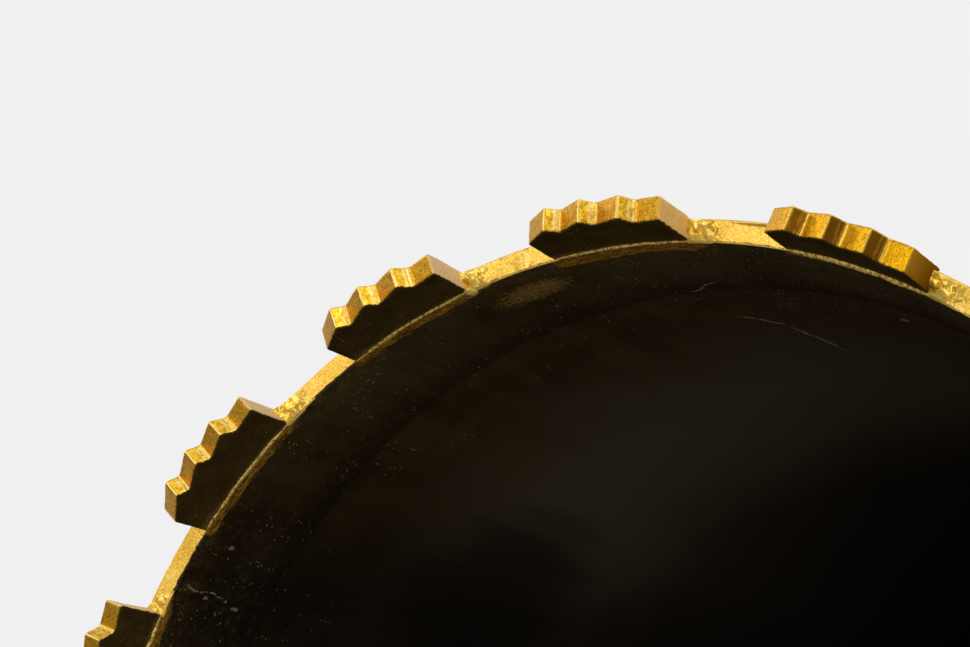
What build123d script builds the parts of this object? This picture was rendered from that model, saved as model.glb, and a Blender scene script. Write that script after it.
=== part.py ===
"""Diamond core bit, 200 mm cutting diameter, for drilling round holes in concrete.

It stands on its threaded coupling with the cutting end up. +Z is the drilling axis and runs
from the coupling towards the cutting end. The origin is on that axis, in the coupling's end face.
Pieces from the bottom: coupling, back plate, barrel, crown ring, and the diamond segments brazed
on the ring's end face, each with a braze fillet at its trailing foot. Sizes are millimetres.
"""
from build123d import *

import os
from math import cos, radians, sin, sqrt

# Diamond segments. A segment's own outline runs along u, its arc length, with u positive
# towards its trailing end, and h, the height above the crown ring's end face.
bit_diameter = 200.0  # over the segments
segment_count = 15
segment_length = 24.0
segment_thickness = 4.0
ridge_count = 4  # saw teeth along a segment's top
ridge_line_height = 12.0  # highest ridge above the ring
ridge_line_fall = 1.9  # how much lower the ridge line is at the segment's ends
ridge_depth = 2.3  # from the ridge line down to a groove
ridge_drop_run = 1.8  # length of a ridge's steep side
ridge_edge_radius = 0.3
groove_radius = 0.7
segment_corner_radius = 0.25  # upright edges at the segment's ends

# Crown ring, the thick short ring that carries the segments.
ring_setback = 0.4  # ring's outer wall inside the segments' outer faces
ring_thickness = 3.8
ring_height = 26.0
ring_edge_chamfer = 0.25
ring_foot_chamfer = 0.6  # inner lower edge, where the wall steps back to the barrel

# Barrel, a rolled and seam-welded tube.
barrel_length = 374.0
barrel_wall = 3.0
joint_chamfer = 0.3  # outer edges that meet at the ring's weld line
seam_width = 3.0  # weld seams on the inner walls
seam_height = 0.3
seam_ring_turn = 1.5  # the ring's seam lies this many degrees past the barrel's

# Back plate, set into the barrel's lower end.
plate_thickness = 10.0
plate_weld_leg = 3.0
plate_weld_lap = 1.5  # how far the bead laps on to the barrel's end
plate_weld_crown = 0.5  # how far the bead's face stands out of its groove

# Coupling, 1 1/4 inch UNC, 7 threads to the inch, modelled at its minor diameter.
thread_minor_diameter = 27.9
thread_relief_diameter = 32.4
thread_relief_depth = 6.0
coupling_diameter = 60.0
coupling_reach = 28.0  # from its end face to the back plate
spigot_diameter = 44.0  # the part of it inside the plate
coupling_edge_chamfer = 1.5
wrench_flats = 50.0  # across the two flats
wrench_flat_height = 16.0
coupling_weld_leg = 5.0
coupling_weld_sag = 0.8  # hollow of the bead's face

# Braze fillets at the segments' trailing feet.
braze_run = 5.0
braze_rise = 2.6
braze_toe = 0.35  # thickness where the fillet runs out on the ring
braze_sag = 0.55
braze_setback = 0.1  # its side walls inside the ring's walls

# Places that follow from the sizes above.
segment_outer = bit_diameter / 2
segment_inner = segment_outer - segment_thickness
ring_outer = segment_outer - ring_setback
ring_inner = ring_outer - ring_thickness
barrel_inner = ring_outer - barrel_wall
barrel_bottom = coupling_reach
ring_bottom = barrel_bottom + barrel_length
ring_top = ring_bottom + ring_height
segment_pitch = 360.0 / segment_count
seam_angle = segment_pitch / 2
ramp_run = (segment_length - (ridge_count - 1) * ridge_drop_run) / ridge_count
half_length = segment_length / 2

# Working allowances, which leave no mark on a finished piece.
cut_over = 2.0  # how far a blank is cut past the walls that trim it
point_match = 0.001


def tube(outer, inner, height, bottom):
    """A plain tube on the Z axis."""
    walls = Circle(outer) - Circle(inner)
    return extrude(Pos(0, 0, bottom) * walls, height)


def ring_of(points):
    """A closed outline of (radius, height) points, turned about the Z axis."""
    outline = Polyline(*[(radius, 0, height) for radius, height in points], close=True)
    return revolve(make_face(outline), Axis.Z)


def seam_bead(wall_inner, wall_outer, height, bottom, angle):
    """A low bead along a wall's inside, which reaches into the wall behind it."""
    bead_radius = (seam_width**2 / 4 + seam_height**2) / (2 * seam_height)
    axis_radius = wall_inner - seam_height + bead_radius
    place = Pos(axis_radius * cos(radians(angle)), axis_radius * sin(radians(angle)), bottom)
    bead = extrude(place * Circle(bead_radius), height)
    return bead & tube(wall_outer - joint_chamfer, wall_inner - seam_height, height, bottom)


def barrel():
    wall = ring_of([
        (barrel_inner + plate_weld_lap, barrel_bottom),
        (ring_outer, barrel_bottom),
        (ring_outer, ring_bottom - joint_chamfer),
        (ring_outer - joint_chamfer, ring_bottom),
        (barrel_inner, ring_bottom),
        (barrel_inner, barrel_bottom + plate_weld_lap),
    ])
    seam_bottom = barrel_bottom + plate_thickness
    seam_length = ring_bottom - seam_bottom
    return wall + seam_bead(barrel_inner, ring_outer, seam_length, seam_bottom, seam_angle)


def crown_ring():
    wall = ring_of([
        (ring_inner + ring_foot_chamfer, ring_bottom),
        (ring_outer - joint_chamfer, ring_bottom),
        (ring_outer, ring_bottom + joint_chamfer),
        (ring_outer, ring_top - ring_edge_chamfer),
        (ring_outer - ring_edge_chamfer, ring_top),
        (ring_inner + ring_edge_chamfer, ring_top),
        (ring_inner, ring_top - ring_edge_chamfer),
        (ring_inner, ring_bottom + ring_foot_chamfer),
    ])
    seam_bottom = ring_bottom + ring_foot_chamfer
    seam_length = ring_height - ring_foot_chamfer - ring_edge_chamfer
    turn = seam_angle + seam_ring_turn
    return wall + seam_bead(ring_inner, ring_outer, seam_length, seam_bottom, turn)


def back_plate():
    top = barrel_bottom + plate_thickness
    return ring_of([
        (spigot_diameter / 2, barrel_bottom),
        (barrel_inner - plate_weld_leg, barrel_bottom),
        (barrel_inner, barrel_bottom + plate_weld_leg),
        (barrel_inner, top),
        (spigot_diameter / 2, top),
    ])


def plate_weld():
    """The bead that fills the groove between the plate's chamfer and the barrel's end."""
    inner = (barrel_inner - plate_weld_leg, 0, barrel_bottom)
    outer = (barrel_inner + plate_weld_lap, 0, barrel_bottom)
    lap_end = (barrel_inner, 0, barrel_bottom + plate_weld_lap)
    root = (barrel_inner, 0, barrel_bottom + plate_weld_leg)
    middle = ((inner[0] + outer[0]) / 2, 0, barrel_bottom - plate_weld_crown)
    edges = [
        Line(outer, lap_end),
        Line(lap_end, root),
        Line(root, inner),
        ThreePointArc(inner, middle, outer),
    ]
    return revolve(make_face(edges), Axis.Z)


def coupling():
    bore = thread_minor_diameter / 2
    relief = thread_relief_diameter / 2
    outer = coupling_diameter / 2
    top = barrel_bottom + plate_thickness
    lead = relief - bore
    body = ring_of([
        (relief, 0),
        (outer - coupling_edge_chamfer, 0),
        (outer, coupling_edge_chamfer),
        (outer, coupling_reach),
        (spigot_diameter / 2, coupling_reach),
        (spigot_diameter / 2, top),
        (bore, top),
        (bore, thread_relief_depth + lead),
        (relief, thread_relief_depth),
    ])
    for side in (-1, 1):
        cutter_place = Pos(0, side * (wrench_flats / 2 + outer / 2), wrench_flat_height / 2)
        body -= cutter_place * Box(coupling_diameter, outer, wrench_flat_height)
    return body


def coupling_weld():
    """A fillet bead between the coupling's side and the plate's lower face."""
    outer = coupling_diameter / 2
    leg = coupling_weld_leg
    corner = (outer, 0, coupling_reach)
    low = (outer, 0, coupling_reach - leg)
    side = (outer + leg, 0, coupling_reach)
    sag = coupling_weld_sag / sqrt(2)
    middle = (outer + leg / 2 - sag, 0, coupling_reach - leg / 2 + sag)
    edges = [Line(corner, low), ThreePointArc(low, middle, side), Line(side, corner)]
    return revolve(make_face(edges), Axis.Z)


def ridge_line(u):
    """Height of the ridges' common arc above the ring at a place along the segment."""
    arc_radius = (half_length**2 + ridge_line_fall**2) / (2 * ridge_line_fall)
    return ridge_line_height - arc_radius + sqrt(arc_radius**2 - u**2)


def corners_at(outline, points):
    """The corners of a flat outline that lie at any of the points."""
    found = []
    for corner in outline.vertices():
        gaps = [abs(corner.X - u) + abs(corner.Y - h) for u, h in points]
        if min(gaps) < point_match:
            found.append(corner)
    return found


def segment_outline():
    """The saw-toothed side view of a segment, with its ridges and grooves rounded."""
    ridges, grooves = [], []
    for step in range(ridge_count):
        groove = -half_length + step * (ramp_run + ridge_drop_run)
        ridge = groove + ramp_run
        grooves.append((groove, ridge_line(groove) - ridge_depth))
        ridges.append((ridge, ridge_line(ridge)))
    top = [point for pair in zip(grooves, ridges) for point in pair]
    outline = make_face(Polyline((-half_length, 0), *top, (half_length, 0), close=True))

    outline = fillet(corners_at(outline, grooves[1:]), groove_radius)
    return fillet(corners_at(outline, ridges + grooves[:1]), ridge_edge_radius)


def tangent_plane(radius):
    """A plane square to +X at a radius: its x is u, its y is h, and it faces the axis."""
    return Plane(origin=(radius, 0, ring_top), x_dir=(0, -1, 0), z_dir=(-1, 0, 0))


def across_wall(outline, outer, inner):
    """An outline on the tangent plane, cut radially through a curved wall."""
    slab = extrude(tangent_plane(outer + cut_over) * outline, outer - inner + 2 * cut_over)
    return slab & tube(outer, inner, ridge_line_height + cut_over, ring_top)


def segment():
    body = across_wall(segment_outline(), segment_outer, segment_inner)
    uprights = body.edges().filter_by(Axis.Z)
    return fillet(uprights, segment_corner_radius)


def braze():
    """The fillet in the corner between a segment's trailing end and the ring's end face."""
    foot = (half_length, 0)
    high = (half_length, braze_rise)
    toe_top = (half_length + braze_run, braze_toe)
    toe = (half_length + braze_run, 0)
    middle = (half_length + braze_run / 2 - braze_sag, (braze_rise + braze_toe) / 2 - braze_sag)
    edges = [Line(foot, high), ThreePointArc(high, middle, toe_top), Line(toe_top, toe), Line(toe, foot)]
    edge = ring_edge_chamfer + braze_setback
    return across_wall(make_face(edges), ring_outer - edge, ring_inner + edge)


def main():
    os.makedirs("parts", exist_ok=True)
    pieces = {
        "barrel": barrel(),
        "crown_ring": crown_ring(),
        "back_plate": back_plate(),
        "plate_weld": plate_weld(),
        "coupling": coupling(),
        "coupling_weld": coupling_weld(),
    }
    one_segment, one_braze = segment(), braze()
    for number in range(segment_count):
        turn = Rot(0, 0, number * segment_pitch)
        pieces[f"segment_{number + 1:02d}"] = turn * one_segment
        pieces[f"braze_fillet_{number + 1:02d}"] = turn * one_braze
    for name, piece in pieces.items():
        export_step(piece, f"parts/{name}.step")


main()
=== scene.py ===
"""Looks of the diamond core bit: gold spray paint outside, dark bare steel inside, lumpy braze.

Sizes are millimetres and degrees in the CAD part's own frame, with the drilling axis along z.
"""

import math
import random

import bmesh
import bpy
from mathutils import Matrix, Vector, noise


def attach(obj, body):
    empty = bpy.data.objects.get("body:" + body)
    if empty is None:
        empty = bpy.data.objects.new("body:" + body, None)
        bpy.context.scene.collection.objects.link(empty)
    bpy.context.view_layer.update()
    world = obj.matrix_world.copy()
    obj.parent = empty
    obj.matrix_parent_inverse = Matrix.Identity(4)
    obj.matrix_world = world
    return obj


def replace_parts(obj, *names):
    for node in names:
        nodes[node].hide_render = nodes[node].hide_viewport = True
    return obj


MM = 0.001

# The CAD part's own sizes.
COUNT = 15  # segments
PITCH = 24.0  # degrees from one segment to the next
HALF = 12.0  # half a segment's length
RAMP = 4.65  # long side of a saw tooth, along the segment
DROP = 1.8  # its steep side
SEG_INNER = 96.0  # radii
SEG_OUTER = 100.0
RING_INNER = 95.8
RING_OUTER = 99.6
BARREL_INNER = 96.6
RING_TOP = 428.0  # heights
PLATE_TOP = 38.0

# The coupling's 1 1/4 inch UNC thread.
THREAD_MINOR = 13.95  # radii
THREAD_MAJOR = 15.875
RELIEF_RADIUS = 16.2
RELIEF_DEPTH = 6.0
THREAD_PITCH = 25.4 / 7.0
GROOVE_SHARE = 0.75  # share of the pitch that the groove takes at its mouth
FLANK_SHARE = 0.625  # share of the pitch that its two flanks take


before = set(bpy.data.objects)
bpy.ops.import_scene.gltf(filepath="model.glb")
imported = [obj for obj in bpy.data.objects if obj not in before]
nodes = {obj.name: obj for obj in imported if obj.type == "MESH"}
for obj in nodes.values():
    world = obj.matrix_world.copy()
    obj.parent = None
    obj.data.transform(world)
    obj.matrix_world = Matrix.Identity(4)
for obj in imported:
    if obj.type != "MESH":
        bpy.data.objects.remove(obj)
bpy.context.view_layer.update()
collection = bpy.context.scene.collection


# ---------------------------------------------------------------- node helper

class Nodes:
    """Short-hand for building one material's node tree."""

    def __init__(self, name):
        self.mat = bpy.data.materials.new(name)
        self.mat.use_nodes = True
        self.tree = self.mat.node_tree
        self.tree.nodes.clear()
        self.out = self.tree.nodes.new("ShaderNodeOutputMaterial")
        self.coords = self.tree.nodes.new("ShaderNodeTexCoord").outputs["Object"]

    def plug(self, socket, value):
        if isinstance(value, bpy.types.NodeSocket):
            self.tree.links.new(value, socket)
        else:
            socket.default_value = value

    def math(self, operation, one, two=0.0, clamp=False):
        n = self.tree.nodes.new("ShaderNodeMath")
        n.operation = operation
        n.use_clamp = clamp
        self.plug(n.inputs[0], one)
        self.plug(n.inputs[1], two)
        return n.outputs[0]

    def add(self, one, two):
        return self.math("ADD", one, two)

    def sub(self, one, two):
        return self.math("SUBTRACT", one, two)

    def mul(self, first, *others):
        total = first
        for value in others:
            total = self.math("MULTIPLY", total, value)
        return total

    def div(self, one, two):
        return self.math("DIVIDE", one, two)

    def split(self, vector):
        n = self.tree.nodes.new("ShaderNodeSeparateXYZ")
        self.plug(n.inputs[0], vector)
        return n.outputs[0], n.outputs[1], n.outputs[2]

    def join(self, x, y, z):
        n = self.tree.nodes.new("ShaderNodeCombineXYZ")
        self.plug(n.inputs[0], x)
        self.plug(n.inputs[1], y)
        self.plug(n.inputs[2], z)
        return n.outputs[0]

    def step(self, value, low, high, to_low=0.0, to_high=1.0):
        """Smooth step from to_low, at low, to to_high, at high."""
        n = self.tree.nodes.new("ShaderNodeMapRange")
        n.interpolation_type = "SMOOTHSTEP"
        self.plug(n.inputs["Value"], value)
        n.inputs["From Min"].default_value = low
        n.inputs["From Max"].default_value = high
        n.inputs["To Min"].default_value = to_low
        n.inputs["To Max"].default_value = to_high
        return n.outputs[0]

    def fall(self, value, low, high):
        """Smooth step from 1, at low, to 0, at high."""
        return self.step(value, low, high, 1.0, 0.0)

    def band(self, value, edges):
        """Mask that rises from edges[0] to edges[1] and falls from edges[2] to edges[3]."""
        rise = self.step(value, edges[0], edges[1])
        return self.mul(rise, self.fall(value, edges[2], edges[3]))

    def swing(self, source, reach):
        """Noise turned into a swing of up to half of reach to either side of nought."""
        return self.mul(self.sub(source, 0.5), reach)

    def noise(self, size, detail=2.0, rough=0.5, vector=None):
        """Noise whose lumps are about size millimetres across."""
        n = self.tree.nodes.new("ShaderNodeTexNoise")
        self.plug(n.inputs["Vector"], self.coords if vector is None else vector)
        n.inputs["Scale"].default_value = 1.0 / (size * MM)
        n.inputs["Detail"].default_value = detail
        n.inputs["Roughness"].default_value = rough
        return n.outputs[0]

    def cells(self, size):
        """(distance to the nearest seed, its colour) among seeds about size millimetres apart."""
        n = self.tree.nodes.new("ShaderNodeTexVoronoi")
        self.plug(n.inputs["Vector"], self.coords)
        n.inputs["Scale"].default_value = 1.0 / (size * MM)
        return n.outputs["Distance"], n.outputs["Color"]

    def mix(self, factor, a, b):
        n = self.tree.nodes.new("ShaderNodeMix")
        n.data_type = "RGBA"
        self.plug(n.inputs[0], factor)
        self.plug(n.inputs[6], a)
        self.plug(n.inputs[7], b)
        return n.outputs[2]

    def bump(self, height, distance, strength=1.0, normal=None):
        n = self.tree.nodes.new("ShaderNodeBump")
        n.inputs["Strength"].default_value = strength
        n.inputs["Distance"].default_value = distance * MM
        self.plug(n.inputs["Height"], height)
        if normal is not None:
            self.plug(n.inputs["Normal"], normal)
        return n.outputs[0]

    def shader(self, color, metallic, roughness, specular, normal):
        n = self.tree.nodes.new("ShaderNodeBsdfPrincipled")
        self.plug(n.inputs["Base Color"], color)
        self.plug(n.inputs["Metallic"], metallic)
        self.plug(n.inputs["Roughness"], roughness)
        self.plug(n.inputs["Specular IOR Level"], specular)
        self.plug(n.inputs["Normal"], normal)
        self.tree.links.new(n.outputs[0], self.out.inputs["Surface"])

    def place(self):
        """x and y in metres, then radius and height in millimetres and the angle in degrees."""
        x, y, z = self.split(self.coords)
        square = self.add(self.mul(x, x), self.mul(y, y))
        radius = self.mul(self.math("SQRT", square), 1.0 / MM)
        angle = self.math("DEGREES", self.math("ARCTAN2", y, x))
        return x, y, radius, self.mul(z, 1.0 / MM), angle

    def arc_place(self, angle, radius):
        """Arc length u from the nearest segment's middle, towards its trailing end."""
        shifted = self.math("FLOORED_MODULO", self.add(angle, PITCH / 2), PITCH)
        return self.mul(self.sub(PITCH / 2, shifted), math.pi / 180.0, radius)


# ---------------------------------------------------------------- colours and places

GOLD_DEEP = (0.50, 0.25, 0.018, 1)
GOLD = (0.80, 0.48, 0.060, 1)
GOLD_PALE = (0.96, 0.72, 0.22, 1)
GOLD_STAIN = (0.26, 0.135, 0.012, 1)

WALL_DARK = (0.037, 0.0210, 0.0066, 1)
WALL_WARM = (0.062, 0.039, 0.0145, 1)
# Painted sheen below the ring, then painted shade far down and on one side of the bit.
WALL_SHEEN = (0.098, 0.075, 0.0460, 1)
WALL_FAR_SHADE = (0.042, 0.032, 0.0200, 1)
WALL_SHADED = (0.005, 0.0035, 0.002, 1)
WALL_PALE = (0.085, 0.062, 0.033, 1)
# Painted shade for a dark patch low on the inner wall.
SHADE_PATCH_DARK = (0.004, 0.003, 0.002, 1)
# Painted shade at the ring's foot.
HEEL_SHADE = (0.006, 0.004, 0.002, 1)
SMEAR = (0.070, 0.054, 0.028, 1)
SPARKLE = (0.55, 0.47, 0.34, 1)
DUST = (0.34, 0.225, 0.072, 1)
OVERSPRAY = (0.37, 0.220, 0.045, 1)
SCRATCHED = (0.56, 0.44, 0.26, 1)
FLUX_DARK = (0.12, 0.050, 0.004, 1)
FLUX_PALE = (0.44, 0.22, 0.022, 1)

END_DARK = (0.52, 0.33, 0.135, 1)
END_PALE = (0.94, 0.69, 0.42, 1)
END_GOLDEN = (0.84, 0.50, 0.14, 1)
# Painted shade on the end faces on one side of the bit.
END_SHADE_FOOT = (0.20, 0.080, 0.001, 1)
END_SHADE = (0.46, 0.22, 0.012, 1)
# Painted shade on the ramps; the brighter pair is painted light on them on one side of the bit.
RAMP_SHADE_DARK = (0.26, 0.100, 0.001, 1)
RAMP_SHADE = (0.74, 0.37, 0.012, 1)
RAMP_LIT_DARK = (0.40, 0.170, 0.001, 1)
RAMP_LIT = (0.95, 0.50, 0.008, 1)
DROP_DARK = (0.58, 0.30, 0.006, 1)
DROP_PALE = (0.95, 0.60, 0.035, 1)
# Painted shade on the drops on one side of the bit.
DROP_SHADE = (0.20, 0.078, 0.001, 1)
# Painted highlight lines at the ridges and grooves.
RIDGE_HIGHLIGHT = (1.0, 0.76, 0.36, 1)
RIDGE_HIGHLIGHT_ORANGE = (1.0, 0.60, 0.08, 1)
FACE_DARK = (0.038, 0.0225, 0.0050, 1)
FACE_WARM = (0.056, 0.0345, 0.0080, 1)
FACE_DUST = (0.32, 0.20, 0.055, 1)

# Painted shade in the braze's hollows and painted highlights on its crests.
BRAZE_HOLLOW_SHADE = (0.62, 0.33, 0.014, 1)
BRAZE = (1.0, 0.64, 0.085, 1)
BRAZE_CREST_HIGHLIGHT = (1.0, 0.74, 0.165, 1)
# Painted light on the braze at the ring's inner edge.
BRAZE_SPILL_LIGHT = (1.0, 0.76, 0.20, 1)
BEAD_BROWN = (0.32, 0.165, 0.018, 1)
BEAD_PALE = (1.0, 0.70, 0.19, 1)

STEEL = (0.56, 0.55, 0.53, 1)
STEEL_RUST = (0.19, 0.09, 0.035, 1)

# Where each of these rises and falls, in degrees round the bit.
STAINED_GAP = (-42.5, -40.0, -31.5, -30.0)
SHADED_SIDE = (-12.0, 13.0, 100.0, 140.0)
PALE_SIDE = (-140.0, -100.0, -54.0, -36.0)
# Painted light and shade on one side of the bit.
LIT_AND_SHADED_SIDE = (-120.0, -100.0, -70.0, -60.0)
DEEP_FLUX = (-58.0, -54.0, -42.0, -38.0)

# Marks on the inner wall. A place is (degrees, height), a reach is (along the arc, upright).
# The first place is a patch of painted shade, the rest are marks.
SHADE_PATCH_PLACE, SHADE_PATCH_REACH = (8.0, 336.0), (26.0, 30.0)
PATCH_PLACE, PATCH_REACH = (-35.6, 419.6), (7.8, 4.1)
SCRATCHES = [  # start, end, width
    ((-47.6, 402.6), (-52.8, 408.4), 0.35),
    ((13.4, 427.4), (13.5, 414.8), 0.20),
    ((-47.8, 386.6), (-52.1, 378.0), 0.38),
    ((-51.6, 379.0), (-54.5, 359.5), 0.38),
]
SPOTS = [  # place, reach
    ((-67.6, 390.2), (0.8, 0.8)),
    ((8.2, 420.0), (0.5, 0.9)),
    ((14.1, 419.8), (0.5, 0.8)),
    ((14.6, 411.2), (0.45, 1.1)),
    ((14.0, 414.6), (0.35, 0.5)),
    ((-67.3, 389.4), (1.2, 0.3)),
]
ARC = math.pi / 180.0 * 96.2  # millimetres of wall in a degree

PAINT_METAL = 0.70  # how metallic the gold paint is
SEGMENT_METAL = 0.78
SHELL_SPECULAR = 0.10
PAINT_LUMPS = 0.03  # depth of the unevenness under the paint


# ---------------------------------------------------------------- masks

def largest(b, masks):
    total = masks[0]
    for mask in masks[1:]:
        total = b.math("MAXIMUM", total, mask)
    return total


def speckle(b, size, share, edge):
    """Mask of scattered specks about size millimetres apart."""
    distance, color = b.cells(size)
    pick, _, _ = b.split(color)
    chosen = b.math("LESS_THAN", pick, share)
    return b.mul(chosen, b.fall(distance, edge, edge + 0.10))


def ellipse(b, angle, height, place, reach):
    """0 at a place on the wall, 1 at its reach."""
    across = b.div(b.sub(angle, place[0]), reach[0] / ARC)
    upright = b.div(b.sub(height, place[1]), reach[1])
    return b.add(b.mul(across, across), b.mul(upright, upright))


def spot(b, angle, height, place, reach):
    """Soft, ragged round mask on the wall."""
    wander = b.swing(b.noise(0.7, 3.0, 0.7), 3.0)
    return b.fall(b.add(ellipse(b, angle, height, place, reach), wander), 0.1, 1.0)


def scratch(b, angle, height, start, end, width):
    """Thin, shaky mark on the wall between two places."""
    run = ((end[0] - start[0]) * ARC, end[1] - start[1])
    length = math.hypot(*run)
    along = (run[0] / length, run[1] / length)
    across = b.mul(b.sub(angle, start[0]), ARC)
    upright = b.sub(height, start[1])
    along_it = b.add(b.mul(across, along[0]), b.mul(upright, along[1]))
    beside = b.sub(b.mul(across, along[1]), b.mul(upright, along[0]))
    off = b.math("ABSOLUTE", b.add(beside, b.swing(b.noise(4.0, 2.0, 0.5), 2.4)))
    ends = b.band(along_it, (0.0, length * 0.3, length * 0.8, length))
    broken = b.step(b.noise(0.7, 3.0, 0.7), 0.38, 0.58)
    return b.mul(b.fall(off, width * 0.4, width), ends, broken)


def wall_marks(b, angle, height):
    marks = [scratch(b, angle, height, *mark) for mark in SCRATCHES]
    return largest(b, marks + [spot(b, angle, height, *mark) for mark in SPOTS])


# ---------------------------------------------------------------- gold paint

def gold_color(b, drift_size=6.0, share=0.22):
    """Gold paint with fine grain and slow drifts of tone."""
    grain = b.noise(0.30, 3.0, 0.75)
    drift = b.noise(drift_size, 2.0, 0.5)
    tone = b.add(b.mul(grain, 1.0 - share), b.mul(drift, share))
    color = b.mix(b.step(tone, 0.34, 0.51), GOLD_DEEP, GOLD)
    return b.mix(b.step(tone, 0.49, 0.66), color, GOLD_PALE)


def even_gold(b):
    """Gold paint as it lies on the large faces."""
    return gold_color(b, 40.0, 0.10)


def stained_gold(b, angle):
    """The crown's gold paint, with the stains that lie between two of the segments."""
    blotch = b.step(b.noise(1.5, 4.0, 0.65), 0.50, 0.64)
    return b.mix(b.mul(b.band(angle, STAINED_GAP), blotch, 0.55), gold_color(b), GOLD_STAIN)


def gold_normal(b, lump_size):
    grain = b.bump(b.noise(0.20, 2.0, 0.6), 0.035, 0.8)
    return b.bump(b.noise(lump_size, 2.0, 0.5), PAINT_LUMPS, 1.0, grain)


# ---------------------------------------------------------------- inner wall

def deep_wall(b, x, y, angle, height):
    """Mill scale on the inner wall, with a painted sheen below the ring, painted shade far down and on one
    side of the bit, and a dark patch of painted shade low down.
    """
    streaks = b.noise(5.0, 3.0, 0.6, b.join(x, y, b.mul(height, 0.08 * MM)))
    clouds = b.noise(16.0, 3.0, 0.55)
    tone = b.add(b.mul(streaks, 0.45), b.mul(clouds, 0.55))
    wall = b.mix(b.step(tone, 0.38, 0.66), WALL_DARK, WALL_WARM)
    # Greyer and lighter below the ring, a painted sheen, and darker again far down, a painted shade.
    depth = b.add(height, b.swing(clouds, 40.0))
    wall = b.mix(b.fall(depth, 335.0, 392.0), wall, WALL_SHEEN)
    wall = b.mix(b.fall(depth, 255.0, 320.0), wall, WALL_FAR_SHADE)
    # Painted shade on one side of the bit, and a paler tone on another side.
    wall = b.mix(b.mul(b.band(angle, SHADED_SIDE), 0.70), wall, WALL_SHADED)
    wall = b.mix(b.mul(b.band(angle, PALE_SIDE), 0.16), wall, WALL_PALE)
    # Painted shade: a soft, streaky dark patch low on one side of the wall.
    shade_patch = b.add(ellipse(b, angle, height, SHADE_PATCH_PLACE, SHADE_PATCH_REACH), b.swing(streaks, 1.6))
    wall = b.mix(b.step(shade_patch, 0.0, 1.7, 0.62, 0.0), wall, SHADE_PATCH_DARK)
    where = b.math("MAXIMUM", b.step(b.noise(8.0, 3.0, 0.6), 0.48, 0.60), b.fall(angle, -55.0, -50.0))
    sparkle = b.mul(speckle(b, 0.75, 0.22, 0.15), where, b.step(height, 360.0, 405.0))
    return b.mix(b.mul(sparkle, 0.60), wall, SPARKLE)


def barrel_wall(b, x, y, angle, height):
    """Colour of the bare steel inside the barrel."""
    wall = deep_wall(b, x, y, angle, height)
    return b.mix(b.mul(wall_marks(b, angle, height), 0.62), wall, SCRATCHED)


def flux_band(b, x, y, angle, radius, height, wall):
    """Brownish paint and flux on the ring's inner wall, just below each segment."""
    u = b.arc_place(angle, radius)
    lead = b.step(u, -HALF - 0.8, -HALF + 0.2)
    tail = b.fall(u, HALF - 0.5, HALF + 4.6)
    runs = b.noise(0.8, 4.0, 0.7, b.join(b.mul(x, 0.25), b.mul(y, 0.25), b.mul(height, MM)))
    wavy = b.add(height, b.swing(runs, 3.0))
    wavy = b.add(wavy, b.mul(b.band(angle, DEEP_FLUX), 1.7))
    wavy = b.add(wavy, b.mul(b.sub(tail, 1.0), 1.6))
    high = b.step(wavy, RING_TOP - 2.3, RING_TOP - 1.5)
    band = b.mul(lead, b.math("GREATER_THAN", tail, 0.02), high)
    tone = b.add(b.mul(runs, 0.5), b.mul(b.noise(0.5, 3.0, 0.7), 0.5))
    flux = b.mix(b.step(tone, 0.42, 0.58), FLUX_DARK, FLUX_PALE)
    return b.mix(b.mul(band, 0.92), wall, flux)


def ring_wall(b, x, y, angle, radius, height):
    """Colour of the ring's inner wall: painted shade low down, smears, overspray, dust near the rim and
    flux.
    """
    wall = deep_wall(b, x, y, angle, height)
    # Painted shade low on the ring's wall, just above its step to the barrel.
    wall = b.mix(b.mul(b.fall(height, 403.0, 414.0), 0.55), wall, HEEL_SHADE)
    smears = b.step(b.noise(1.6, 5.0, 0.8), 0.50, 0.66)
    wall = b.mix(b.mul(smears, 0.40), wall, SMEAR)
    mist = b.mul(b.step(b.noise(0.35, 3.0, 0.7), 0.44, 0.66), b.step(height, RING_TOP - 9.0, RING_TOP + 0.5))
    mist = b.mul(mist, b.step(b.noise(3.0, 2.0, 0.5), 0.40, 0.66, 0.15, 1.0))
    specks = b.mul(speckle(b, 0.9, 0.16, 0.14), b.step(b.noise(6.0, 2.0, 0.5), 0.42, 0.58))
    streaky = b.noise(0.8, 4.0, 0.8, b.join(x, y, b.mul(height, 2.2 * MM)))
    patch = b.mul(spot(b, angle, height, PATCH_PLACE, PATCH_REACH), b.step(streaky, 0.36, 0.58))
    wall = b.mix(b.mul(patch, 0.80), wall, OVERSPRAY)
    wall = b.mix(b.math("MAXIMUM", b.mul(mist, 0.45), b.mul(specks, 0.85)), wall, DUST)
    wall = b.mix(b.mul(wall_marks(b, angle, height), 0.50), wall, SCRATCHED)
    return flux_band(b, x, y, angle, radius, height, wall)


# ---------------------------------------------------------------- materials of the shell

def shell_shader(b, inside, gold, wall, rough):
    """Gold paint outside, bare wall inside."""
    metallic = b.sub(PAINT_METAL, b.mul(inside, PAINT_METAL))
    b.shader(b.mix(inside, gold, wall), metallic, rough, SHELL_SPECULAR, gold_normal(b, 2.5))
    return b.mat


def paint_edge(b, radius, edge):
    """Mask of the faces inside a radius, with a ragged edge."""
    ragged = b.swing(b.noise(1.3, 4.0, 0.65), 0.8)
    return b.fall(b.add(radius, ragged), edge - 0.10, edge + 0.10)


def shell_rough(b, inside):
    return b.add(0.42, b.mul(inside, 0.10))


def plate_material():
    b = Nodes("plate_paint")
    x, y, _, height, angle = b.place()
    inside = b.step(height, PLATE_TOP - 0.8, PLATE_TOP - 0.4)
    return shell_shader(b, inside, even_gold(b), barrel_wall(b, x, y, angle, height), 0.44)


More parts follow.
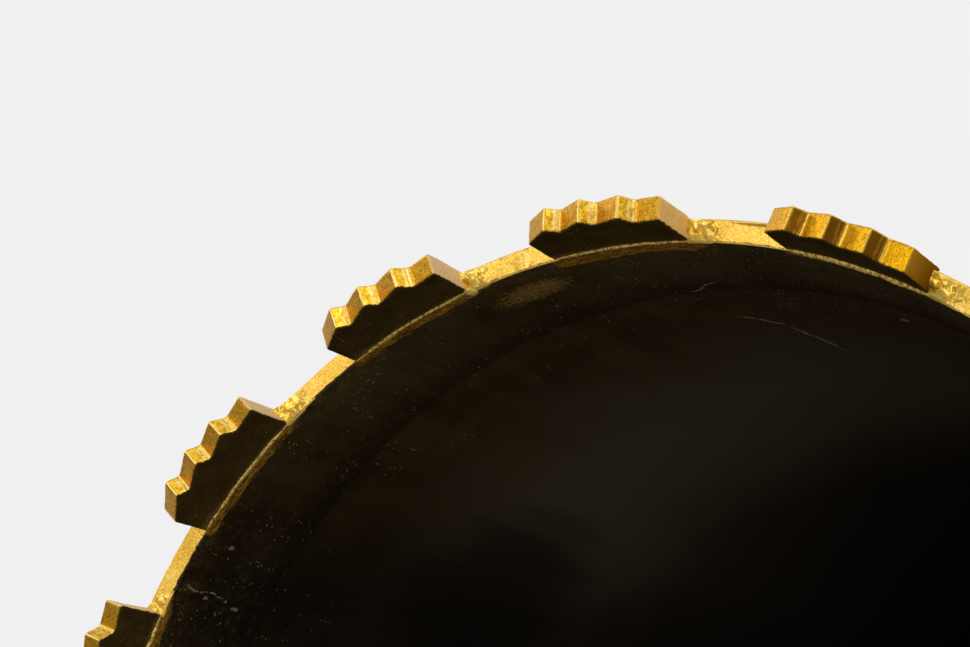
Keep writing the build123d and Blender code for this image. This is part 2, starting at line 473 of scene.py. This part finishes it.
def barrel_material():
    b = Nodes("barrel_paint")
    x, y, radius, height, angle = b.place()
    inside = paint_edge(b, radius, BARREL_INNER + 1.2)
    wall = barrel_wall(b, x, y, angle, height)
    return shell_shader(b, inside, even_gold(b), wall, shell_rough(b, inside))


def crown_material():
    b = Nodes("crown_paint")
    x, y, radius, height, angle = b.place()
    inside = paint_edge(b, radius, RING_INNER + 0.28)
    wall = ring_wall(b, x, y, angle, radius, height)
    top = b.step(height, RING_TOP - 1.5, RING_TOP - 0.4)
    gold = b.mix(top, even_gold(b), stained_gold(b, angle))
    return shell_shader(b, inside, gold, wall, shell_rough(b, inside))


# ---------------------------------------------------------------- material of the segments

def end_color(b, angle, h, lit_and_shaded_side):
    """The end faces: dull tan, golden on some segments, and painted shade in brown on one side of the bit.
    """
    dull = b.mix(b.noise(0.4, 3.0, 0.6), END_DARK, END_PALE)
    dull = b.mix(b.step(angle, -52.0, -42.0, 0.8, 0.0), dull, END_GOLDEN)
    return b.mix(lit_and_shaded_side, dull, b.mix(b.step(h, 1.0, 12.0), END_SHADE_FOOT, END_SHADE))


def tooth_color(b, gold, u, radius, lit_and_shaded_side, on_top):
    """Ramps and drops in colours of painted light and shade, the ramps brownish with fine pressed lines and
    the drops golden, and painted highlights as pale lines at the ridges and grooves.
    """
    tooth = b.math("FLOORED_MODULO", b.add(u, HALF), RAMP + DROP)
    ramp = b.band(tooth, (0.1, 0.5, RAMP - 0.25, RAMP - 0.05))
    lines = b.noise(0.22, 3.0, 0.7, b.join(b.mul(u, MM), b.mul(radius, 0.12 * MM), 0.0))
    grit = b.add(b.mul(lines, 0.45), b.mul(b.noise(0.34, 3.0, 0.75), 0.55))
    # Painted shade: the ramps' brownish colour, brighter orange on one side of the bit as painted light.
    rust_and_ramp_shading = b.mix(b.step(grit, 0.38, 0.62), RAMP_SHADE_DARK, RAMP_SHADE)
    rust_and_ramp_shading = b.mix(lit_and_shaded_side, rust_and_ramp_shading, b.mix(b.step(grit, 0.36, 0.60), RAMP_LIT_DARK, RAMP_LIT))
    # The drops in their own golden colour, with painted shade in brown on one side of the bit.
    drop = b.step(tooth, RAMP - 0.05, RAMP + 0.25)
    deep = b.mix(b.step(b.noise(0.7, 3.0, 0.6), 0.40, 0.60), DROP_DARK, DROP_PALE)
    deep = b.mix(lit_and_shaded_side, deep, DROP_SHADE)
    covered = b.add(0.85, b.mul(lit_and_shaded_side, 0.12))
    gold = b.mix(b.mul(drop, on_top, covered), gold, deep)
    gold = b.mix(b.mul(ramp, on_top, covered), gold, rust_and_ramp_shading)
    # Painted highlights: pale lines at the ridges and grooves, fewer and orange on one side of the bit.
    shaky = b.add(tooth, b.swing(b.noise(1.5, 2.0, 0.6), 0.5))
    highlight_lines = largest(b, [b.fall(b.math("ABSOLUTE", b.sub(shaky, at)), 0.05, 0.20)
                       for at in (RAMP + 0.02, RAMP + DROP - 0.62, RAMP + DROP - 0.12)])
    highlight_lines = b.mul(highlight_lines, b.step(b.noise(0.8, 3.0, 0.6), 0.30, 0.50), b.sub(1.0, b.mul(lit_and_shaded_side, 0.7)))
    return b.mix(b.mul(highlight_lines, on_top, 0.62), gold, b.mix(lit_and_shaded_side, RIDGE_HIGHLIGHT, RIDGE_HIGHLIGHT_ORANGE))


def face_color(b, u, h):
    """Dark inner face with dust, more of it near the foot."""
    leading = b.step(u, -HALF, -4.0, 2.6, 1.3)
    foot = b.fall(b.div(h, leading), 0.1, 1.0)
    mist = b.mul(b.step(b.noise(0.34, 3.0, 0.75), 0.42, 0.60), foot)
    specks = b.mul(speckle(b, 0.9, 0.22, 0.10), 0.75)
    haze = b.mul(b.step(b.noise(0.30, 3.0, 0.8), 0.50, 0.70), b.step(h, 1.0, 9.0, 0.34, 0.10))
    dust = b.math("MAXIMUM", b.mul(mist, 0.85), b.math("MAXIMUM", specks, haze))
    face = b.mix(b.step(b.noise(4.0, 3.0, 0.6), 0.35, 0.7), FACE_DARK, FACE_WARM)
    return b.mix(dust, face, FACE_DUST)


def segment_material():
    b = Nodes("segment_gold")
    _, _, radius, height, angle = b.place()
    u = b.arc_place(angle, radius)
    h = b.sub(height, RING_TOP)
    ragged = b.swing(b.noise(0.7, 4.0, 0.7), 0.7)
    inside = b.fall(b.add(radius, ragged), SEG_INNER + 0.14, SEG_INNER + 0.34)
    end = b.step(b.math("ABSOLUTE", u), HALF - 0.30, HALF - 0.10)
    crown = b.fall(radius, SEG_OUTER - 0.30, SEG_OUTER - 0.12)
    # Painted light and shade on one side of the bit: brown shaded end faces and drops, brighter ramps, fewer
    # highlights.
    lit_and_shaded_side = b.band(angle, LIT_AND_SHADED_SIDE)
    gold = tooth_color(b, gold_color(b), u, radius, lit_and_shaded_side, b.mul(b.sub(1.0, end), crown))
    coat = b.add(0.85, b.mul(lit_and_shaded_side, 0.15))
    gold = b.mix(b.mul(end, coat), gold, end_color(b, angle, h, lit_and_shaded_side))
    color = b.mix(inside, gold, face_color(b, u, h))
    metallic = b.sub(SEGMENT_METAL, b.mul(inside, SEGMENT_METAL))
    metallic = b.mul(metallic, b.sub(1.0, b.mul(end, 0.95)))
    rough = b.add(0.40, b.mul(inside, 0.20))
    b.shader(color, metallic, rough, b.mul(0.04, b.sub(1.0, end)), gold_normal(b, 1.2))
    return b.mat


# ---------------------------------------------------------------- braze, welds and steel

def braze_color(b, lumps, radius, height, angle):
    """Mask of the braze that has spilt inwards, then the colour of molten lumps under paint, with painted
    shade in the hollows, painted highlights on the crests and painted light where it has spilt.
    """
    raised = b.step(height, RING_TOP + 0.05, RING_TOP + 0.5)
    # Painted shade in the hollows and painted highlights on the crests, following the bump's noise.
    lumps_light_and_shade = b.mix(b.step(lumps, 0.34, 0.48), BRAZE_HOLLOW_SHADE, BRAZE)
    lumps_light_and_shade = b.mix(b.step(lumps, 0.50, 0.66), lumps_light_and_shade, BRAZE_CREST_HIGHLIGHT)
    color = b.mix(b.mul(raised, 0.82), stained_gold(b, angle), lumps_light_and_shade)
    # Painted light on the braze at and over the ring's inner edge.
    spilt = b.fall(radius, RING_INNER - 0.1, RING_INNER + 0.3)
    return spilt, b.mix(b.mul(spilt, 0.80), color, BRAZE_SPILL_LIGHT)


def fine_bump(b):
    return b.bump(b.noise(0.22, 2.0, 0.6), 0.02, 0.6)


def braze_material():
    """The lumps at the segments' trailing feet."""
    b = Nodes("braze_gold")
    _, _, radius, height, angle = b.place()
    lumps = b.noise(1.25, 1.0, 0.5)
    spilt, color = braze_color(b, lumps, radius, height, angle)
    metallic = b.sub(0.55, b.mul(spilt, 0.45))
    b.shader(color, metallic, 0.28, 0.15, b.bump(lumps, 0.34, 0.9, fine_bump(b)))
    return b.mat


def bead_material():
    """The thin runs along the inner feet: brown shows between the paint."""
    b = Nodes("braze_dusty")
    color = b.mix(b.step(b.noise(0.5, 3.0, 0.7), 0.36, 0.58), BEAD_BROWN, BEAD_PALE)
    b.shader(color, 0.25, 0.28, 0.15, b.bump(b.noise(0.9, 2.0, 0.5), 0.10, 0.9, fine_bump(b)))
    return b.mat


def weld_material():
    """Weld beads under the shell's gold paint."""
    b = Nodes("weld_gold")
    normal = b.bump(b.noise(0.9, 2.0, 0.5), 0.10, 0.9, fine_bump(b))
    b.shader(gold_color(b), PAINT_METAL, 0.36, 0.15, normal)
    return b.mat


def steel_material():
    """Bare turned steel with a little rust."""
    b = Nodes("turned_steel")
    _, _, radius, height, _ = b.place()
    lines = b.noise(500.0, 3.0, 0.7, b.join(radius, height, 0.0))
    tone = b.add(b.mul(lines, 0.5), b.mul(b.noise(7.0, 3.0, 0.6), 0.5))
    dark = tuple(0.55 * c for c in STEEL[:3]) + (1,)
    color = b.mix(b.step(tone, 0.25, 0.70), dark, STEEL)
    rust_and_ramp_shading = b.mul(b.step(b.noise(3.0, 5.0, 0.7), 0.62, 0.75), 0.5)
    color = b.mix(rust_and_ramp_shading, color, STEEL_RUST)
    rough = b.step(b.noise(2.5, 3.0, 0.6), 0.3, 0.7, 0.30, 0.48)
    normal = b.bump(lines, 0.02, 0.6, b.bump(b.noise(0.5, 2.0, 0.6), 0.015, 0.6))
    b.shader(color, 0.92, rough, 0.5, normal)
    return b.mat


segment_paint = segment_material()
braze_paint = braze_material()
bead_paint = bead_material()
weld_paint = weld_material()
steel = steel_material()


def paint(node, material):
    for place in nodes[node].material_slots:
        place.material = material


paint("barrel", barrel_material())
paint("crown_ring", crown_material())
paint("back_plate", plate_material())
paint("coupling", steel)
paint("plate_weld", weld_paint)
paint("coupling_weld", weld_paint)


# ---------------------------------------------------------------- pieces

SEGMENT_GRID = 0.25
SEGMENT_ROUGHNESS = [(5.0, 0.10), (1.3, 0.05), (0.6, 0.02)]  # size of the unevenness, its depth
LUMP_GRID = 0.13
LUMP_LAP = 0.4  # how far a lump reaches into the segment's end
LUMP_INSET = 0.02  # how far it stays off the ring's outer edge
LUMP_DEPTH = 0.6  # how far its foot lies in the ring
GAP_LENGTH = 17.2  # arc from one segment's end to just inside the next one
LIP_RADIUS = 99.25
SPILLED = 15  # the segment whose braze runs over the ring's inner edge
THICK_BEAD = 13  # the segment with the thickest bead


def add(name, mesh, material):
    mesh.materials.clear()
    mesh.materials.append(material)
    obj = bpy.data.objects.new(name, mesh)
    collection.objects.link(obj)
    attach(obj, "root")
    return obj


def segment_angle(number):
    return PITCH * (number - 1)


def place_at(number, u, radius, h):
    """World point, in metres, from a segment's number, arc length, radius and height above the ring."""
    angle = math.radians(segment_angle(number)) - u / radius
    return Vector((radius * math.cos(angle), radius * math.sin(angle), RING_TOP + h)) * MM


def smooth_shaded(mesh):
    mesh.polygons.foreach_set("use_smooth", [True] * len(mesh.polygons))
    return mesh


def mesh_from(bm, name):
    mesh = bpy.data.meshes.new(name)
    bm.to_mesh(mesh)
    bm.free()
    return mesh


def remeshed(mesh):
    """A closed mesh rebuilt on a fine, even grid, with its edges barely softened."""
    obj = bpy.data.objects.new("work", mesh)
    collection.objects.link(obj)
    mod = obj.modifiers.new("remesh", "REMESH")
    mod.mode = "VOXEL"
    mod.voxel_size = SEGMENT_GRID * MM
    soft = obj.modifiers.new("smooth", "SMOOTH")
    soft.factor = 0.5
    soft.iterations = 1
    graph = bpy.context.evaluated_depsgraph_get()
    result = bpy.data.meshes.new_from_object(obj.evaluated_get(graph))
    bpy.data.objects.remove(obj)
    return smooth_shaded(result)


def welded_copy(mesh):
    bm = bmesh.new()
    bm.from_mesh(mesh)
    bmesh.ops.remove_doubles(bm, verts=bm.verts, dist=0.002 * MM)
    return mesh_from(bm, "copy")


def roughen(mesh, seed):
    """Moves points along their normals by layers of noise."""
    shift = Vector((seed * 3.1, seed * 1.7, seed * 2.3))
    moves = []
    for vertex in mesh.vertices:
        depth = 0.0
        for size, reach in SEGMENT_ROUGHNESS:
            depth += reach * noise.noise(vertex.co / (size * MM) + shift)
        moves.append(vertex.co + vertex.normal * depth * MM)
    for vertex, place in zip(mesh.vertices, moves):
        vertex.co = place
    mesh.update()


def segment_piece(number):
    node = f"segment_{number:02d}"
    mesh = remeshed(welded_copy(nodes[node].data))
    roughen(mesh, number)
    obj = add(f"segment_detail_{number:02d}", mesh, segment_paint)
    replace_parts(obj, node)


def gauss(distance, width):
    return math.exp(-(distance / width) ** 2)


def smooth(value, low, high):
    t = min(1.0, max(0.0, (value - low) / (high - low)))
    return t * t * (3.0 - 2.0 * t)


# The braze in four of the gaps has a shape of its own, in millimetres. Its rise is its height at the
# segment, its run the length of its slope, its step the thickness where the slope ends, and its reach the
# length over which that thins out. A lump is (arc length, radius, height, width), a pit (arc length,
# radius) and a ring (arc length, radius, its own radius). The lip lies along the ring's outer edge.
OWN_LUMPS = {
    1: {"rise": 1.6, "run": 4.7, "step": 0.35,
        "pits": [(0.5, 98.4), (1.5, 97.1), (1.9, 98.9)],
        "rings": [(5.5, 98.35, 0.50)],
        "lumps": [(1.1, 98.0, 0.35, 0.8), (2.6, 96.9, 0.50, 0.7), (3.1, 98.6, 0.30, 0.6),
                  (4.5, 96.7, 0.30, 0.6)]},
    2: {"rise": 0.8, "run": 1.7, "reach": 2.0, "pits": [], "lumps": [(2.3, 96.9, 0.75, 0.9)]},
    14: {"rise": 1.1, "run": 4.5, "step": 0.40, "lip": 0.42,
         "pits": [(1.0, 97.2)],
         "lumps": [(1.0, 99.0, 0.35, 0.7), (2.4, 97.6, -0.30, 0.9), (3.9, 98.9, 0.25, 0.7),
                   (3.6, 96.6, 0.20, 0.6)]},
    15: {"rise": 1.3, "run": 4.4, "step": 0.40,
         "pits": [(0.9, 99.0), (1.1, 98.4), (2.1, 97.8), (3.2, 98.8), (2.7, 96.8)],
         "lumps": [(0.9, 97.4, 0.35, 0.6), (1.6, 98.5, 0.45, 0.7), (2.4, 97.0, 0.55, 0.7),
                   (3.3, 98.2, 0.40, 0.6), (1.5, 96.3, 0.50, 0.6), (3.9, 96.9, 0.20, 0.5),
                   (8.0, 98.0, 0.12, 0.9), (11.5, 97.0, 0.12, 1.1)]},
}


def random_lump(rng):
    return (rng.uniform(0.5, 3.8), rng.uniform(96.4, 98.9), rng.uniform(0.15, 0.45), rng.uniform(0.5, 0.9))


def lump_shape(number):
    """How the braze lies in the gap after a segment."""
    rng = random.Random(70 + number)
    shape = {"rise": rng.uniform(1.5, 2.3), "run": rng.uniform(4.0, 5.6), "step": 0.05, "reach": 1.0}
    shape["lumps"] = [random_lump(rng) for _ in range(6)]
    shape["pits"] = [(rng.uniform(0.4, 3.6), rng.uniform(96.5, 99.0)) for _ in range(4)]
    shape["rings"] = []
    shape["lip"] = 0.0
    shape.update(OWN_LUMPS.get(number, {}))
    return shape


def lump_height(shape, number, x, radius):
    """Height of the braze above the ring's end face, x from the segment's end."""
    run, rise, step = shape["run"], shape["rise"], shape["step"]
    wander = 1.1 * noise.noise(Vector((radius * 0.45, number * 5.1, 0.0)))
    left = max(0.0, 1.0 - max(0.0, x) / (run + wander))
    height = step * smooth(left, 0.0, 0.05) + (rise - step) * left ** 2.0
    cover = smooth(run + shape["reach"] + wander - x, 0.0, 1.2)
    height += 0.16 * noise.noise(Vector((x / 1.1, radius / 1.1, number))) * cover
    for at, middle, high, width in shape["lumps"]:
        height += high * gauss(math.hypot(x - at, radius - middle), width)
    for at, middle in shape["pits"]:
        height -= 0.45 * gauss(math.hypot(x - at, radius - middle), 0.20)
    for at, middle, reach in shape["rings"]:
        height += 0.20 * gauss(math.hypot(x - at, radius - middle) - reach, 0.15)
    height -= 0.06 * smooth(x, run - 0.2, run + 1.2)
    if shape["lip"]:
        ends = smooth(x, 5.5, 11.0) * smooth(GAP_LENGTH - x, 0.0, 2.0)
        crest = LIP_RADIUS + 0.12 * noise.noise(Vector((x / 2.0, 3.3, 0.0)))
        height += shape["lip"] * ends * gauss(radius - crest, 0.32)
    outer = (RING_OUTER - LUMP_INSET) - radius
    hold = min(smooth(radius - RING_INNER, -0.05, 0.25), smooth(outer, 0.0, 0.38))
    shoulder = 0.22 + 0.78 * smooth(radius - RING_INNER, 0.0, 2.1)
    return height * hold * shoulder - 0.25 * (1.0 - hold) ** 2


def add_spill(bm, number):
    """A drop of braze that has run over the ring's inner edge."""
    vertices = bmesh.ops.create_icosphere(bm, subdivisions=4, radius=1.0)["verts"]
    middle = place_at(number, HALF + 0.55, RING_INNER + 0.25, -0.15)
    turn = Matrix.Rotation(math.radians(segment_angle(number) - 7.5), 3, "Z")
    for vertex in vertices:
        swell = 1.0 + 0.22 * noise.noise(vertex.co * 1.6 + Vector((4, 4, 4)))
        stretched = Vector((vertex.co.x * 0.75, vertex.co.y * 1.05, vertex.co.z * 1.45))
        vertex.co = middle + turn @ stretched * swell * MM


def blob_piece(number):
    """The braze at a segment's trailing foot: a closed skin whose toe dips into the ring's end face."""
    shape = lump_shape(number)
    far = shape["run"] + shape["reach"] + 0.8
    if shape["lip"] or number == SPILLED:
        far = GAP_LENGTH
    columns, rows = round((far + LUMP_LAP) / LUMP_GRID), 30
    bm = bmesh.new()
    top = []
    for i in range(columns + 1):
        x = -LUMP_LAP + (far + LUMP_LAP) * i / columns
        line = []
        inner = RING_INNER + 0.03 - 0.06 * smooth(shape["run"] - x, 0.0, 1.0)
        for k in range(rows + 1):
            across = 0.5 - 0.5 * math.cos(math.pi * k / rows)
            radius = inner + (RING_OUTER - LUMP_INSET - inner) * across
            high = lump_height(shape, number, x, radius)
            line.append(bm.verts.new(place_at(number, HALF + x, radius, high)))
        top.append(line)
    for one, two in zip(top, top[1:]):
        for k in range(rows):
            bm.faces.new((one[k], one[k + 1], two[k + 1], two[k]))
    rim = top[0] + [line[-1] for line in top[1:]] + top[-1][-2::-1] + [line[0] for line in top[-2:0:-1]]
    foot = (RING_TOP - LUMP_DEPTH) * MM
    low = [bm.verts.new((vertex.co.x, vertex.co.y, foot)) for vertex in rim]
    for k in range(len(rim)):
        bm.faces.new((rim[k - 1], rim[k], low[k], low[k - 1]))
    bm.faces.new(low)
    bmesh.ops.recalc_face_normals(bm, faces=bm.faces)
    if number == SPILLED:
        add_spill(bm, number)
    mesh = smooth_shaded(mesh_from(bm, "lump"))
    obj = add(f"braze_lump_{number:02d}", mesh, braze_paint)
    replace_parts(obj, f"braze_fillet_{number:02d}")


def bead_piece(number):
    """The thin run of braze along a segment's inner foot."""
    rings, sides = 110, 10
    base = 0.62 if number == THICK_BEAD else 0.36
    bm = bmesh.new()
    loops = []
    for i in range(rings + 1):
        u = -HALF + 0.3 + (2 * HALF - 0.2) * i / rings
        ends = min(1.0, 6.0 * i / rings, 6.0 * (rings - i) / rings) ** 0.5
        seed = Vector((u * 0.55, number * 7.3, 0.0))
        uneven = 1.0 + 0.4 * noise.noise(seed) + 0.3 * noise.noise(seed * 3.0)
        thick = base * uneven * max(ends, 0.15)
        high = 0.10 + 0.25 * noise.noise(seed * 0.6 + Vector((9, 0, 0)))
        loop = []
        for k in range(sides):
            a = 2 * math.pi * k / sides
            radius = RING_INNER + 0.12 + thick * 0.75 * math.cos(a)
            loop.append(bm.verts.new(place_at(number, u, radius, high + thick * math.sin(a))))
        loops.append(loop)
    for one, two in zip(loops, loops[1:]):
        for k in range(sides):
            bm.faces.new((one[k], one[(k + 1) % sides], two[(k + 1) % sides], two[k]))
    bm.faces.new(loops[0])
    bm.faces.new(list(reversed(loops[-1])))
    bmesh.ops.recalc_face_normals(bm, faces=bm.faces)
    mesh = smooth_shaded(mesh_from(bm, "bead"))
    add(f"braze_bead_{number:02d}", mesh, bead_paint)


def thread_radius(z, turn):
    """Radius of the thread's wall at a height, turn being the share of a full turn."""
    phase = (z / THREAD_PITCH - turn) % 1.0
    depth = min(1.0, max(0.0, (GROOVE_SHARE - abs(phase - 0.5) * 2.0) / FLANK_SHARE))
    depth *= smooth(PLATE_TOP - z, 0.0, 1.5)
    countersink = RELIEF_DEPTH + (RELIEF_RADIUS - THREAD_MINOR) - z
    return max(THREAD_MINOR + (THREAD_MAJOR - THREAD_MINOR) * depth, THREAD_MINOR + max(0.0, countersink))


def is_bore(face):
    """Whether a face of the CAD coupling belongs to its plain bore, above the thread relief."""
    middle = face.calc_center_median() / MM
    return RELIEF_DEPTH < middle.z < PLATE_TOP - 0.01 and math.hypot(*middle.xy) < RELIEF_RADIUS - 0.01


def threaded_coupling():
    """The coupling with its thread cut into the plain bore."""
    bm = bmesh.new()
    bm.from_mesh(nodes["coupling"].data)
    bmesh.ops.delete(bm, geom=[face for face in bm.faces if is_bore(face)], context="FACES")
    around, levels = 120, 110
    loops = []
    for i in range(levels + 1):
        z = RELIEF_DEPTH + (PLATE_TOP - RELIEF_DEPTH) * i / levels
        loop = []
        for k in range(around):
            angle = 2 * math.pi * k / around
            radius = thread_radius(z, k / around)
            loop.append(bm.verts.new(Vector((radius * math.cos(angle), radius * math.sin(angle), z)) * MM))
        loops.append(loop)
    for one, two in zip(loops, loops[1:]):
        for k in range(around):
            bm.faces.new((one[k], two[k], two[(k + 1) % around], one[(k + 1) % around]))
    mesh = mesh_from(bm, "coupling")
    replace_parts(add("coupling_threaded", mesh, steel), "coupling")


def turned(place, angle):
    """World point, in metres, from (radius, height) and an angle in radians."""
    return Vector((place.x * math.cos(angle), place.x * math.sin(angle), place.y)) * MM


def weld_piece(node, toe_one, toe_two, root, crown, pitch):
    """A rippled weld bead; places are (radius, height), crown is how far its face stands out."""
    across, around = 14, 900
    one, two, root = Vector(toe_one), Vector(toe_two), Vector(root)
    out = (two - one).normalized().orthogonal()
    if out.dot((one + two) / 2 - root) < 0:
        out = -out
    bm = bmesh.new()
    loops = []
    for i in range(around):
        angle = 2 * math.pi * i / around
        loop = []
        for k in range(across + 1):
            t = k / across
            arch = 4.0 * t * (1.0 - t)
            along = one.x * angle + 1.6 * arch + 0.5 * noise.noise(Vector((angle * 9.0, t, 2.0)))
            ripple = 0.20 * abs(math.sin(math.pi * along / pitch)) * arch
            ripple += 0.25 * noise.noise(Vector((math.cos(angle) * 8.0, math.sin(angle) * 8.0, t))) * arch
            place = one.lerp(two, t) + out * (crown * arch + ripple)
            loop.append(bm.verts.new(turned(place, angle)))
        loop.append(bm.verts.new(turned(root, angle)))
        loops.append(loop)
    for a, c in zip(loops, loops[1:] + loops[:1]):
        for k in range(across + 2):
            bm.faces.new((a[k], a[(k + 1) % (across + 2)], c[(k + 1) % (across + 2)], c[k]))
    bmesh.ops.recalc_face_normals(bm, faces=bm.faces)
    mesh = smooth_shaded(mesh_from(bm, node))
    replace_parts(add(node + "_rippled", mesh, weld_paint), node)


threaded_coupling()
weld_piece("coupling_weld", (30.0, 23.0), (35.0, 28.0), root=(30.2, 27.9), crown=-0.6, pitch=2.6)
weld_piece("plate_weld", (93.6, 28.0), (98.1, 28.0), root=(96.4, 29.6), crown=0.25, pitch=2.8)
for number in range(1, COUNT + 1):
    segment_piece(number)
    blob_piece(number)
    bead_piece(number)


# ---------------------------------------------------------------- stage

def plane(name, size, z):
    mesh = bpy.data.meshes.new(name)
    corners = [(-size, -size, z), (size, -size, z), (size, size, z), (-size, size, z)]
    mesh.from_pydata(corners, [], [(0, 1, 2, 3)])
    obj = bpy.data.objects.new(name, mesh)
    collection.objects.link(obj)
    return obj


BACKGROUND = 0.886
FLOOR_SIZE = 8.0  # metres from its middle to its edges
FLOOR_DROP = 0.0005  # metres below the bit
FOCAL_PIXELS, WIDTH_PIXELS = 1897.0, 970.0
SENSOR_WIDTH = 36.0
CAMERA_PLACE = (-0.1008, -0.0907, 0.6740)
CAMERA_RIGHT = (-0.5918, -0.6070, -0.5304)
CAMERA_FORWARD = (0.5770, 0.1404, -0.8046)

floor = plane("floor", FLOOR_SIZE, -FLOOR_DROP)
b = Nodes("floor_pale")
diffuse = b.tree.nodes.new("ShaderNodeBsdfDiffuse")
diffuse.inputs["Color"].default_value = (0.80, 0.80, 0.80, 1)
glow = b.tree.nodes.new("ShaderNodeEmission")
glow.inputs["Color"].default_value = (BACKGROUND, BACKGROUND, BACKGROUND, 1)
path = b.tree.nodes.new("ShaderNodeLightPath")
seen = b.math("MAXIMUM", path.outputs["Is Camera Ray"], path.outputs["Is Glossy Ray"], clamp=True)
blend = b.tree.nodes.new("ShaderNodeMixShader")
b.plug(blend.inputs[0], b.mul(seen, 0.94))
b.tree.links.new(diffuse.outputs[0], blend.inputs[1])
b.tree.links.new(glow.outputs[0], blend.inputs[2])
b.tree.links.new(blend.outputs[0], b.out.inputs["Surface"])
floor.data.materials.append(b.mat)

world = bpy.data.worlds.new("studio")
bpy.context.scene.world = world
world.use_nodes = True
world.node_tree.nodes["Background"].inputs["Color"].default_value = (1.0, 0.99, 0.97, 1)
world.node_tree.nodes["Background"].inputs["Strength"].default_value = 0.32


def softbox(name, direction, distance, size, power, target=(0, 0, 0.40)):
    light = bpy.data.lights.new(name, "AREA")
    light.shape = "RECTANGLE"
    light.size, light.size_y = size
    light.energy = power
    obj = bpy.data.objects.new(name, light)
    collection.objects.link(obj)
    aim = Vector(direction).normalized()
    obj.location = Vector(target) + aim * distance
    obj.rotation_euler = aim.to_track_quat("Z", "Y").to_euler()


softbox("key", (0.15, -0.87, 0.45), 1.6, (1.9, 0.9), 12.5)
softbox("top", (0.55, 0.00, 0.85), 1.7, (1.2, 1.2), 9.0)
softbox("right", (0.95, 0.15, 0.20), 1.8, (1.0, 0.8), 5.0)
softbox("fill", (-0.60, -0.12, 0.78), 2.0, (0.8, 0.8), 6.0)

camera = bpy.data.objects.new("camera", bpy.data.cameras.new("camera"))
collection.objects.link(camera)
camera.data.sensor_width = SENSOR_WIDTH
camera.data.lens = SENSOR_WIDTH * FOCAL_PIXELS / WIDTH_PIXELS
camera.data.clip_start = 0.01
right = Vector(CAMERA_RIGHT).normalized()
forward = Vector(CAMERA_FORWARD).normalized()
up = right.cross(forward).normalized()
right = forward.cross(up).normalized()
turn = Matrix((right, up, -forward)).transposed().to_4x4()
camera.matrix_world = Matrix.Translation(CAMERA_PLACE) @ turn
bpy.context.scene.camera = camera
bpy.context.scene.view_settings.view_transform = "Standard"
